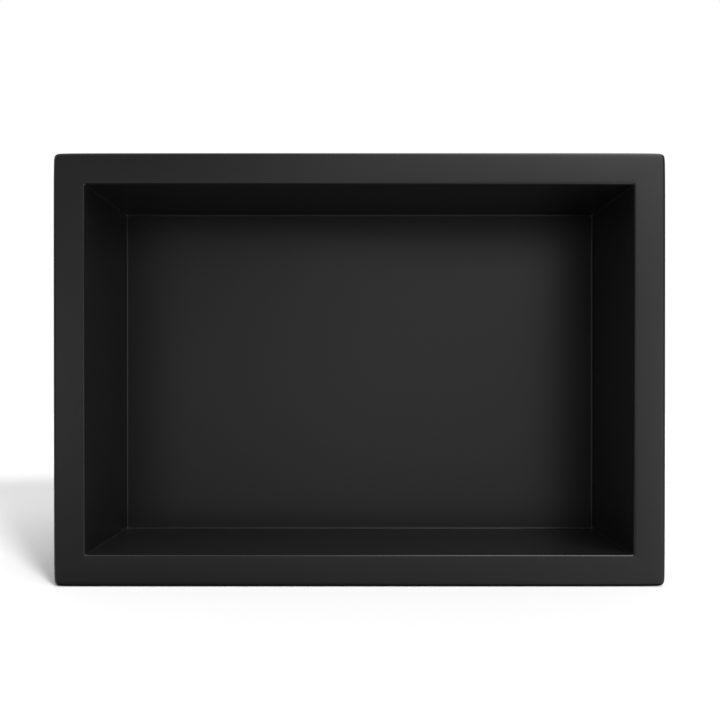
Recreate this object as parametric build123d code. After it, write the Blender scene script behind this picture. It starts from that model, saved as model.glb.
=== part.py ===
"""Shower niche insert: a one-piece recess with a broad crowned face frame.

The frame stands proud of the finished wall and hides the edge of the cut-out.
The tub behind it goes through the cut-out and lies between the wall studs.
Millimetres. +X is to the right and +Z up as one looks at the face, and +Y goes
into the wall. The origin is the middle of the cut-out in the wall's surface,
where the back of the frame seats.
"""

from build123d import *
from math import cos, radians, sin
import os

# Face frame
frame_width = 508.0  # outer edge to outer edge, along X
frame_height = 360.0  # outer edge to outer edge, along Z
frame_border = 26.5  # outer edge to the recess wall, on all four sides
frame_thickness = 10.0  # wall's surface to the crest of the face
face_crown = 0.2  # how far the face swells from its outer edge to its crest

# Recess and the tub round it
recess_depth = 95.0  # crest of the face to back panel
wall_thickness = 6.5  # four side walls of the tub
back_thickness = 6.5  # back panel

# Edges of the frame
edge_roll = 2.6  # outer edge of the face
corner_margin = 0.5  # plan radius of a corner less the roll that goes round it
corner_ease_radius = 500.0  # long arc that leads each side into its corner
corner_ease_angle = 2.3  # turn of that arc, in degrees
lip_roll = 2.0  # face into recess
seat_edge_radius = 0.8  # outer edge of the seat, against the wall

# Edges of the tub
recess_fillet = 1.5  # where two walls, or a wall and the back, meet inside
root_fillet = 2.0  # where the tub leaves the back of the frame

# Where the face is drawn, as shares of the border: its outer edge, its crest in
# the middle, the recess wall, halfway between, and past the wall, to be trimmed.
face_stations = (0, 0.25, 0.5, 0.75, 1, 1.1)
pick_slack = 0.001  # how far an edge may lie from the depth it is picked by

opening_width = frame_width - 2 * frame_border
opening_height = frame_height - 2 * frame_border
corner_radius = edge_roll + corner_margin
tub_fillet = recess_fillet + wall_thickness
crest_depth = -frame_thickness
back_panel_depth = recess_depth - frame_thickness
tub_end_depth = back_panel_depth + back_thickness


def eased_outline(inset):
    """Frame's outline moved in, in the seat's plane: each corner is an ease, a radius, an ease."""
    width = frame_width - 2 * inset
    height = frame_height - 2 * inset
    reach = corner_ease_radius - corner_radius
    turn = radians(corner_ease_angle)
    ease_start = corner_ease_radius - reach * cos(turn) + reach * sin(turn)
    corner_turns = (
        (corner_ease_radius, corner_ease_angle),
        (corner_radius, 90 - 2 * corner_ease_angle),
        (corner_ease_radius, corner_ease_angle),
    )
    with BuildSketch(Plane.XZ) as outline:
        with BuildLine():
            end = Vector(ease_start - width / 2, -height / 2)
            heading = Vector(1, 0)
            for side in (width, height, width, height):
                run = Line(end, end + heading * (side - 2 * ease_start))
                end = run @ 1
                for radius, angle in corner_turns:
                    arc = JernArc(end, heading, radius, angle)
                    end = arc @ 1
                    heading = arc % 1
        make_face()
    return outline.sketch.wire()


def face_depth(station):
    """Depth of the face across its border: a parabola with its top at the crest."""
    return crest_depth + face_crown * (2 * station - 1) ** 2


def face_frame():
    """Ring with a crowned face, its outer edge rolled over and its seat edge broken."""
    outlines = [eased_outline(station * frame_border) for station in face_stations]
    depths = [face_depth(station) for station in face_stations]
    sections = [Pos(0, depth, 0) * outline for outline, depth in zip(outlines, depths)]
    skin = Shell.make_loft(sections).faces()
    for end in (0, -1):
        skin += Shell.extrude(outlines[end], (0, depths[end], 0)).faces()
    skin += [Face(outlines[0], [outlines[-1]])]
    ring = Solid(Shell(skin))

    rim_depth = depths[0]
    rim = ring.edges().filter_by_position(Axis.Y, rim_depth - pick_slack, rim_depth + pick_slack)
    ring = fillet(rim, edge_roll)
    seat = ring.faces().filter_by(Axis.Y)[0]
    return fillet(seat.outer_wire().edges(), seat_edge_radius)


def rounded_block(width, height, mouth_depth, end_depth, radius):
    """Block square at its mouth, with its long edges and its far end rounded."""
    mouth = Plane.XZ.offset(-mouth_depth) * Rectangle(width, height)
    block = extrude(mouth, mouth_depth - end_depth)
    mouth_edges = block.faces().sort_by(Axis.Y)[0].edges()
    return fillet([edge for edge in block.edges() if edge not in mouth_edges], radius)


def niche_insert():
    """Frame and tub in one, hollowed by the recess, with the root and the lip rounded."""
    tub = rounded_block(
        opening_width + 2 * wall_thickness,
        opening_height + 2 * wall_thickness,
        0,
        tub_end_depth,
        tub_fillet,
    )
    recess = rounded_block(
        opening_width, opening_height, crest_depth, back_panel_depth, recess_fillet
    )
    body = face_frame() + tub
    seat = body.faces().filter_by(lambda face: len(face.inner_wires()) > 0)[0]
    body = fillet(seat.inner_wires()[0].edges(), root_fillet)
    hollow = body - recess
    lip = new_edges(body, recess, combined=hollow)
    return fillet(lip, lip_roll)


os.makedirs("parts", exist_ok=True)
export_step(niche_insert(), "parts/niche_insert.step")
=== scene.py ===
# %% [markdown]
# # A matte black shower niche insert
# A niche insert is an open box that is let into a shower wall to hold bottles and
# soap. A broad face frame covers the edge of the hole in the tiles. The whole thing
# is one moulding. The CAD model gives its size and place, and this lesson gives it a
# fine surface, a finish and a studio.

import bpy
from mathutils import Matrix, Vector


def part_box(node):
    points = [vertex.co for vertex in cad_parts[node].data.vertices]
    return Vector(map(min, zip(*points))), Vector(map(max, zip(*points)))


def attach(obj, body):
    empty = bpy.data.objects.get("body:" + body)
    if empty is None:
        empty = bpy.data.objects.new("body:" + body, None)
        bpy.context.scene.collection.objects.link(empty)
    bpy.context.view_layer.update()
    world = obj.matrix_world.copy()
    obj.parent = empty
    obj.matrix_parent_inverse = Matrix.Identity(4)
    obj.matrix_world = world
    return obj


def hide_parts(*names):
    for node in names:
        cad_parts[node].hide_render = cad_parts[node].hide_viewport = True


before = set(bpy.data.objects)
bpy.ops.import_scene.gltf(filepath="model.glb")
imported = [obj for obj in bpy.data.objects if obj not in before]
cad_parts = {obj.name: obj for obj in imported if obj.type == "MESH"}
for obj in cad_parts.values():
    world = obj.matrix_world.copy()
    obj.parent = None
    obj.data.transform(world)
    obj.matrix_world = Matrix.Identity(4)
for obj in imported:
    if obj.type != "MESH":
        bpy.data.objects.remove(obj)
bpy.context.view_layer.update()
print("CAD nodes:", sorted(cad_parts))

# %% The tools of the lesson
import math

import bmesh
import bpy
import numpy as np
from mathutils import Vector

mm = 0.001
cm = 10 * mm
scene = bpy.context.scene

# %% [markdown]
# ## Sizes
# The outer sizes are read from the CAD node, so the new surface fills the same box.
# The sizes inside it, such as the border and the thickness of the walls, are the ones
# the moulding was drawn with.

# %% Sizes of the moulding
low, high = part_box("niche_insert")
frame_width = high.x - low.x
frame_height = high.z - low.z
crest_y = low.y  # crest of the face
seat_y = 0.0  # back of the frame, where it meets the wall
rear_y = high.y  # back of the tub

border = 26.5 * mm  # outer edge to the recess wall
face_crown = 0.2 * mm  # swell of the face between its outer edge and its crest
wall = 6.5 * mm  # side walls of the tub
back = 6.5 * mm  # back panel

panel_y = rear_y - back  # front of the back panel
opening_width = frame_width - 2 * border
opening_height = frame_height - 2 * border
print(f"opening {opening_width / mm:.1f} x {opening_height / mm:.1f} mm,",
      f"{(panel_y - crest_y) / mm:.1f} mm deep")

# %% [markdown]
# ## Soft edges
# No edge of a moulding is a true quarter circle. The mould is eased by hand, so an
# edge turns slowly at first, quickly in the middle and slowly again, and a highlight
# on it has a bright core with soft shoulders. A Bevel modifier gives circles. A cubic
# B-spline gives the eased kind by itself: it follows a cage of straight lines and
# rounds each corner as far as the cage points beside the corner stand away from it.
# The lip is made another way: its sharp edge is broken with a file, which leaves a
# narrow flat with soft ends, and that flat catches the light as one thin line.

# %% A curve that follows a cage
def follow(cage, steps, closed):
    """Uniform cubic B-spline along the first axis of an array of cage points.

    Each span is a mix of four cage points in a row. At a share t of the span their
    weights are (1-t)^3, 3t^3-6t^2+4, -3t^3+3t^2+3t+1 and t^3, all divided by 6.
    A closed curve starts again where it ends, and an open one keeps its last point.
    """
    if closed:
        cage = np.concatenate([cage[-1:], cage, cage[:2]])
    spans = len(cage) - 3
    t = np.arange(spans * steps + (not closed)) / steps
    span = np.minimum(t.astype(int), spans - 1)
    t = (t - span).reshape(-1, *[1] * (cage.ndim - 1))
    weights = (1 - t)**3, 3 * t**3 - 6 * t**2 + 4, -3 * t**3 + 3 * t**2 + 3 * t + 1, t**3
    return sum(weight * cage[span + k] for k, weight in enumerate(weights)) / 6


# %% How far the cage points stand from an edge
# With this reach a soft edge is cut back as far as a circular edge of radius 1.
circle_like = 6 * (1 - math.sqrt(0.5))

edge_reach = circle_like * 2.6 * mm  # outer edge of the face
seat_reach = circle_like * 0.8 * mm  # outer edge of the seat
foot_reach = circle_like * 1.5 * mm  # inner edges of the recess
root_reach = circle_like * 2.0 * mm  # tub into the back of the frame
tub_reach = circle_like * 8.0 * mm  # outer edges of the tub

lip_cut = 0.8 * mm  # the filed flat of the lip takes this much off the face and the wall
lip_ease = 0.5 * mm  # how far its soft ends go
lip_foot = lip_cut + lip_ease
lip_reach = lip_foot + 1.2 * lip_ease  # from here on the face and the wall run on undisturbed
print(f"outer edge eased over {edge_reach / mm:.1f} mm, lip over {lip_reach / mm:.1f} mm")

# %% [markdown]
# ## The section of the moulding
# Cut across the frame, the skin is one line. It starts in the middle of the back
# panel, turns up the recess wall, turns over the lip, swells across the face, rolls
# round the outer edge, comes back along the seat and runs down the outside of the tub
# to the middle of its back. Each row of the table below is one point of the cage for
# that line, and the rows at each corner are the corner and its neighbours on either side.
# The lip has two corners, one at each end of its flat. The last column is the polish.
# The honing pad bears hardest on the lip, which comes out shinier than the face, and
# the curve spreads that to both sides of the lip.

# %% Cage of the section
def face_y(inset):
    """Depth of the face at a distance from its edge: a parabola with its top at the crest."""
    return crest_y + face_crown * (2 * inset / border - 1)**2


edge_y = face_y(0)
shoulder_y = face_y(edge_reach)  # one depth for both shoulders keeps the crest in the middle
# The curve keeps inside its cage, so the cage stands a little proud of the crest.
cage_crest_y = (3 * crest_y - shoulder_y) / 2
wall_middle = (edge_y + panel_y) / 2
tub_middle = (seat_y + rear_y) / 2
seat_middle = (border + wall) / 2

# A flat panel shrinks its ring step by step. The last step goes past the middle, so
# that the curve ends on the middle itself.
whole, wide, narrow, middle, past_middle = 1.0, 0.7, 0.35, 0.0, -0.35
panel_rim = -2 * foot_reach
rear_rim = wall - 2 * tub_reach

# share of the ring, distance out from the recess wall, depth, polish
section = np.array([
    (past_middle, panel_rim, panel_y, 0),
    (middle, panel_rim, panel_y, 0),
    (narrow, panel_rim, panel_y, 0),
    (wide, panel_rim, panel_y, 0),
    (whole, panel_rim, panel_y, 0),
    (whole, -foot_reach, panel_y, 0),
    (whole, 0, panel_y, 0),  # foot of the recess wall
    (whole, 0, panel_y - foot_reach, 0),
    (whole, 0, wall_middle, 0),
    (whole, 0, edge_y + lip_reach, 0),
    (whole, 0, edge_y + lip_foot, 0),
    (whole, 0, edge_y + lip_cut, 1),  # lip, on the wall
    (whole, lip_cut, edge_y, 1),  # lip, on the face
    (whole, lip_foot, edge_y, 0),
    (whole, lip_reach, shoulder_y, 0),
    (whole, border / 2, cage_crest_y, 0),
    (whole, border - edge_reach, shoulder_y, 0),
    (whole, border, edge_y, 0),  # outer edge
    (whole, border, edge_y + edge_reach, 0),
    (whole, border, seat_y - seat_reach, 0),
    (whole, border, seat_y, 0),  # edge of the seat
    (whole, border - seat_reach, seat_y, 0),
    (whole, seat_middle, seat_y, 0),
    (whole, wall + root_reach, seat_y, 0),
    (whole, wall, seat_y, 0),  # root of the tub
    (whole, wall, seat_y + root_reach, 0),
    (whole, wall, tub_middle, 0),
    (whole, wall, rear_y - tub_reach, 0),
    (whole, wall, rear_y, 0),  # back edge of the tub
    (whole, wall - tub_reach, rear_y, 0),
    (whole, rear_rim, rear_y, 0),
    (wide, rear_rim, rear_y, 0),
    (narrow, rear_rim, rear_y, 0),
    (middle, rear_rim, rear_y, 0),
    (past_middle, rear_rim, rear_y, 0),
])
share, outset, depth, polish = section.T
print("points in the section's cage:", len(section))

# %% [markdown]
# ## Rings round the opening
# Each point of the section is carried round the opening as a rectangular ring. A ring
# is a cage too: a corner, a neighbour on either side, one more point where the side
# begins to bend, and the middle of the side. The frame's sides don't run dead straight
# into its corners. They ease in by a few tenths of a millimetre first, as a face that
# was rubbed down by hand does, so the corner points of the frame are pulled in a little.

# %% Corners of each ring
on_frame = np.clip(outset / border, 0, 1) * (depth <= seat_y)  # 1 at the frame's outer edge
on_tub = np.clip(outset / wall, 0, 1) * (depth > seat_y)  # 1 on the outside of the tub
frame_corner_reach = circle_like * 4.2 * mm
corner_reach = (foot_reach + on_frame * (frame_corner_reach - foot_reach)
                + on_tub * (tub_reach - foot_reach))

corner_ease = 0.6 * mm * on_frame  # how far a corner is pulled in
ease_start = 25.0 * mm  # where a side begins to bend towards its corner
ease_pull = np.array([1.0, 0.5, 0.0, 0.0, 0.0, 0.5])  # share of it on each point of a side
print(f"the frame's corners turn over {frame_corner_reach / mm:.1f} mm")

# %% The cage of the whole skin
turns = np.array([[1, -1], [1, 1], [-1, 1], [-1, -1]])  # lower right corner, then anticlockwise
heading = np.array([[0, 1], [-1, 0], [0, -1], [1, 0]])  # of the side that leaves each corner
inward = np.array([[-1, 0], [0, -1], [1, 0], [0, 1]])

half = np.array([opening_width, opening_height]) / 2 + outset[:, None]
corners = half[:, None] * turns
length = np.abs((np.roll(corners, -1, axis=1) - corners) @ [1, 1])
reach = np.broadcast_to(corner_reach[:, None], length.shape)
begin = np.full_like(length, ease_start)
along = np.stack([0 * length, reach, begin, length / 2, length - begin, length - reach], axis=-1)

plan = corners[:, :, None] + along[..., None] * heading[:, None]
pull = corner_ease[:, None, None] * ease_pull[:, None]
plan += pull[:, None] * inward[:, None]
plan[:, :, 0] += corner_ease[:, None, None] * np.roll(inward, 1, axis=0)
plan *= share[:, None, None, None]
y = np.broadcast_to(depth[:, None, None], plan.shape[:3])
shine = np.broadcast_to(polish[:, None, None], plan.shape[:3])
cage = np.stack([plan[..., 0], y, plan[..., 1], shine], axis=-1).reshape(len(section), -1, 4)
print("cage: %d rings of %d points" % cage.shape[:2])

# %% [markdown]
# ## From the cage to a mesh
# The curve is followed twice: first round each ring, then across the rings. That is
# the same smooth skin a Subdivision Surface modifier would find for this cage, worked
# out at once and as fine as it is needed. The two rows that shrink to a point close
# the back panel and the back of the tub when doubled points are merged.

# %% The skin
ring_steps = 8
section_steps = 10

rings = follow(cage.swapaxes(0, 1), ring_steps, closed=True).swapaxes(0, 1)
skin = follow(rings, section_steps, closed=False)
rows, columns = skin.shape[:2]

here = np.arange(columns)
after = (here + 1) % columns
row = np.arange(rows - 1)[:, None] * columns
quads = np.stack([row + here, row + columns + here, row + columns + after, row + after], axis=-1)
print(f"skin: {rows} rows of {columns} points")

# %% Close the poles and turn the faces outwards
weld = 0.0001 * mm
mesh = bpy.data.meshes.new("niche")
mesh.from_pydata(skin[..., :3].reshape(-1, 3).tolist(), [], quads.reshape(-1, 4).tolist())
polished = mesh.attributes.new("polish", "FLOAT", "POINT")
polished.data.foreach_set("value", skin[..., 3].ravel())
work = bmesh.new()
work.from_mesh(mesh)
bmesh.ops.remove_doubles(work, verts=work.verts, dist=weld)
bmesh.ops.recalc_face_normals(work, faces=work.faces)
open_edges = sum(not edge.is_manifold for edge in work.edges)
volume = work.calc_volume(signed=True)
work.to_mesh(mesh)
work.free()
mesh.shade_smooth()
niche = bpy.data.objects.new("niche", mesh)
scene.collection.objects.link(niche)
print(f"niche: {len(mesh.polygons)} faces, {open_edges} open edges, {volume / cm**3:.0f} cm3")

# %% Let it stand for the CAD solid
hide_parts("niche_insert")
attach(niche, "root")
print(niche.name, "stands for niche_insert")

# %% [markdown]
# ## Honed solid surface
# The niche is mineral-filled acrylic, cast black all through and honed with fine
# abrasive. Honing leaves a silky matte face: close up it has a faint grain, and in a
# raking light its sheen varies a little from place to place, as the pad passed more or
# less often. The lip, where the pad bears hardest, shines a little more and catches a
# thin line of light. A single grey with one roughness would look like a render, so
# tone, roughness and height each get a little noise of their own.

# %% Helpers for colours and nodes
def linear(hex_colour):
    """Linear colour of an sRGB hex value, with an alpha of 1."""
    channels = np.array([int(hex_colour[k:k + 2], 16) for k in (1, 3, 5)]) / 255
    low_part = channels / 12.92
    high_part = ((channels + 0.055) / 1.055)**2.4
    return (*np.where(channels <= 0.04045, low_part, high_part).tolist(), 1.0)


def add_node(tree, kind, inputs, **settings):
    """Adds a node with its settings. An input that is a socket is linked, and a value is set."""
    node = tree.nodes.new("ShaderNode" + kind)
    for name, value in settings.items():
        setattr(node, name, value)
    for name, value in inputs.items():
        if isinstance(value, bpy.types.NodeSocket):
            tree.links.new(value, node.inputs[name])
        else:
            node.inputs[name].default_value = value
    return node


# %% The finish
black_low = "#1d1d1d"
black_high = "#222222"
filler_grain = 1.6 * mm  # mineral filler; the real grains are finer and wouldn't show
hone_patch = 34.0 * mm  # patches that the pad left a little smoother
hone_grain = 0.9 * mm  # scratches of the abrasive, drawn coarser than they are
hone_height = 0.004 * mm
sheen_range = (0.30, 0.34)  # roughness of a honed, unpolished face
edge_polish = 0.3  # how much smoother the pad leaves the lip
acrylic_ior = 1.5

finish = bpy.data.materials.new("honed_black_solid_surface")
finish.use_nodes = True
tree = finish.node_tree
tree.nodes.clear()
place = add_node(tree, "TexCoord", {}).outputs["Object"]

filler = add_node(tree, "TexNoise", {"Vector": place, "Scale": 1 / filler_grain, "Detail": 2.0})
tone = add_node(tree, "ValToRGB", {"Fac": filler.outputs["Fac"]})
for stop, colour in zip(tone.color_ramp.elements, (black_low, black_high)):
    stop.color = linear(colour)

patches = add_node(tree, "TexNoise", {"Vector": place, "Scale": 1 / hone_patch, "Detail": 3.0})
sheen = add_node(tree, "MapRange", {"Value": patches.outputs["Fac"],
                                    "To Min": sheen_range[0], "To Max": sheen_range[1]})
lip_polish = add_node(tree, "Attribute", {}, attribute_name="polish").outputs["Fac"]
roughness = add_node(tree, "Math", {0: lip_polish, 1: -edge_polish, 2: sheen.outputs["Result"]},
                     operation="MULTIPLY_ADD")

grain = add_node(tree, "TexNoise", {"Vector": place, "Scale": 1 / hone_grain, "Detail": 2.0})
relief = add_node(tree, "Bump", {"Height": grain.outputs["Fac"], "Distance": hone_height})

shader = add_node(tree, "BsdfPrincipled", {
    "Base Color": tone.outputs["Color"],
    "Roughness": roughness.outputs["Value"],
    "IOR": acrylic_ior,
    "Normal": relief.outputs["Normal"],
})
add_node(tree, "OutputMaterial", {"Surface": shader.outputs["BSDF"]})
mesh.materials.append(finish)
print("finish:", finish.name, "with", len(tree.nodes), "nodes")

# %% [markdown]
# ## The studio
# The light is a large, soft tent: brightest high at the front right, dimmer to the
# left, with some from below, as off a pale floor, and a broad glow behind. Area
# lamps could stand for its panels. A world that is made of soft glows does the same
# without a lamp ever coming into view. Each glow is one direction, one width and one
# strength. They were first fitted to the shading of the face in the photograph, and
# then changed and rounded.

# %% Soft glows
def toward(azimuth, elevation):
    """Unit vector: azimuth goes from the front (-Y) to the right (+X), elevation up from level."""
    turn, lift = math.radians(azimuth), math.radians(elevation)
    return (math.sin(turn) * math.cos(lift), -math.cos(turn) * math.cos(lift), math.sin(lift))


# azimuth and elevation in degrees, half-width in degrees, strength
glows = (
    (48, 50, 8, 4.55),  # high at the front right
    (45, 62, 20, 3.2),
    (60, 78, 12, 2.5),  # overhead
    (28, 26, 10, 3.05),  # front right
    (34, 6, 10, 0.75),
    (34, -4, 10, 1.35),
    (4, 26, 10, 1.0),  # in front
    (0, 2, 18, 0.75),
    (-32, 0, 10, 0.95),  # left
    (-70, 42, 20, 1.3),
    (-54, 63, 9, 1.0),  # high at the left, for the lower lip
    (-27, 71, 9, 1.0),
    (-80, -30, 18, 2.05),  # from below
    (45, -40, 25, 1.0),
    (90, -40, 25, 1.15),
    (180, 10, 50, 1.0),  # behind
)

world = bpy.data.worlds.new("studio_tent")
scene.world = world
world.use_nodes = True
tree = world.node_tree
tree.nodes.clear()
look = add_node(tree, "TexCoord", {}).outputs["Generated"]
light = 0.0
for azimuth, elevation, width, strength in glows:
    facing = add_node(tree, "VectorMath", {0: look, 1: toward(azimuth, elevation)},
                      operation="DOT_PRODUCT").outputs["Value"]
    sharp = 1 / (1 - math.cos(math.radians(width)))
    fall = add_node(tree, "Math", {0: facing, 1: sharp, 2: -sharp}, operation="MULTIPLY_ADD")
    glow = add_node(tree, "Math", {0: fall.outputs["Value"]}, operation="EXPONENT")
    total = add_node(tree, "Math", {0: glow.outputs["Value"], 1: strength, 2: light},
                     operation="MULTIPLY_ADD")
    light = total.outputs["Value"]
print("glows in the tent:", len(glows))

# %% A white background for the camera
# Glossy rays keep the tent. The part has no metal or glass to show a white surround,
# and in the sheen of a black face that surround would drown the black.
plain_white = "#ffffff"
ray = add_node(tree, "LightPath", {}).outputs
direct = add_node(tree, "Math", {0: ray["Is Camera Ray"], 1: ray["Is Transmission Ray"]},
                  operation="MAXIMUM")
tent = add_node(tree, "Background", {"Color": linear(plain_white), "Strength": light})
white = add_node(tree, "Background", {"Color": linear(plain_white), "Strength": 1.0})
seen = add_node(tree, "MixShader", {0: direct.outputs["Value"], 1: tent.outputs["Background"],
                                    2: white.outputs["Background"]})
add_node(tree, "OutputWorld", {"Surface": seen.outputs["Shader"]})
print("world:", world.name, "with", len(tree.nodes), "nodes")

# %% [markdown]
# ## The floor
# The niche stands on a white sheet that runs on behind it without an edge. A plane
# does for the sheet. It is lit to white and darkens where the niche shades it. The
# light that a real sheet throws back up is in the tent already, as the glows from
# below, so the niche neither mirrors the plane nor is shaded by it.

# %% A helper for flat sheets
def lay_sheet(name, left, right, front, rear, height, material_name, colour):
    """Adds a matte rectangle to the studio: all its points are at one height."""
    flat = bpy.data.meshes.new(name)
    flat.from_pydata([(left, front, height), (right, front, height),
                      (right, rear, height), (left, rear, height)], [], [(0, 1, 2, 3)])
    material = bpy.data.materials.new(material_name)
    material.use_nodes = True
    tree = material.node_tree
    tree.nodes.clear()
    matte = add_node(tree, "BsdfDiffuse", {"Color": linear(colour)})
    add_node(tree, "OutputMaterial", {"Surface": matte.outputs["BSDF"]})
    flat.materials.append(material)
    sheet = bpy.data.objects.new(name, flat)
    scene.collection.objects.link(sheet)
    return sheet


# %% White paper
paper_white = "#efefef"
floor_half = 3.0  # metres
floor = lay_sheet("floor", -floor_half, floor_half, -floor_half, floor_half, low.z,
                  "white_studio_paper", paper_white)
floor.visible_diffuse = False
floor.visible_glossy = False
floor.visible_shadow = False
print(f"floor: {2 * floor_half:.0f} m square, at a height of {low.z / mm:.0f} mm")

# %% [markdown]
# ## Painted shade at the foot
# Right at its foot the niche shades the sheet itself, and little light comes back up
# from there, so the rolled edge at the bottom ends in a dark line. The glows from below
# don't know of that shade. A black card just under the sheet is painted shade that stands
# for it: the sheet hides it from the camera, and the rolled edge mirrors it in place of the glows.

# %% Black card: painted shade under the sheet
# The card's black is painted shade: it lies where the floor at the foot is in shade, and the
# bottom edge mirrors it as a painted dark reflection.
painted_shade_black = "#050505"
card_front = low.y - 4.0 * mm  # a little in front of the face
card_height = low.z - 1.0 * mm  # just under the sheet
lay_sheet("card", low.x, high.x, card_front, high.y, card_height, "painted_shade_card", painted_shade_black)
print(f"card: {(high.x - low.x) / mm:.0f} x {(high.y - card_front) / mm:.0f} mm")

# %% [markdown]
# ## A lamp for the floor
# In the photograph one shadow falls away to the left and the back, with a soft edge.
# It comes from a broad lamp at the front right. A studio would keep such a lamp off a
# dark, silky thing with a flag, or its sheen would drown the face. Light linking is
# Blender's flag: the lamp lights the sheet alone, and the niche still stands in its way.

# %% The floor lamp
lamp_azimuth, lamp_elevation = 39, 26  # degrees, as for the glows
lamp_width = 12  # how wide the lamp looks from the floor, in degrees
lamp_strength = 3.0  # watts on each square metre

lamp_data = bpy.data.lights.new("floor_lamp", "SUN")
lamp_data.energy = lamp_strength
lamp_data.angle = math.radians(lamp_width)
lamp = bpy.data.objects.new("floor_lamp", lamp_data)
lamp_direction = Vector(toward(lamp_azimuth, lamp_elevation))
lamp.rotation_euler = lamp_direction.to_track_quat("Z", "Y").to_euler()
scene.collection.objects.link(lamp)
lit_by_lamp = bpy.data.collections.new("lit_by_lamp")
lit_by_lamp.objects.link(floor)
lamp.light_linking.receiver_collection = lit_by_lamp

# %% [markdown]
# ## The camera
# The photograph looks straight at the niche from half a metre, level with its middle.
# The camera is all but level, so the frame's sides stay upright, and a small upward
# shift of the lens puts the niche a little low in the picture, as it is there.

# %% Camera
pixels = 720  # side of the square picture
focal_pixels = 638.5  # focal length, in pixels of that picture
right_pixels, up_pixels = -0.2, 23.45  # shift of the lens, in the same pixels
distance = 528.3 * mm  # lens to the crest of the face
camera_x, camera_z = 0.63 * mm, -10.1 * mm  # across and up from the niche's middle
tilt = 0.13  # degrees below level
near_clip = 10 * mm

camera_data = bpy.data.cameras.new("camera")
camera_data.lens = camera_data.sensor_width * focal_pixels / pixels
camera_data.shift_x = right_pixels / pixels
camera_data.shift_y = up_pixels / pixels
camera_data.clip_start = near_clip
camera = bpy.data.objects.new("camera", camera_data)
camera.location = (camera_x, crest_y - distance, camera_z)
camera.rotation_euler = (math.radians(90 - tilt), 0, 0)
scene.collection.objects.link(camera)
scene.camera = camera
scene.view_settings.view_transform = "Standard"
print(f"camera: {camera_data.lens:.1f} mm lens, {distance / mm:.0f} mm from the face")
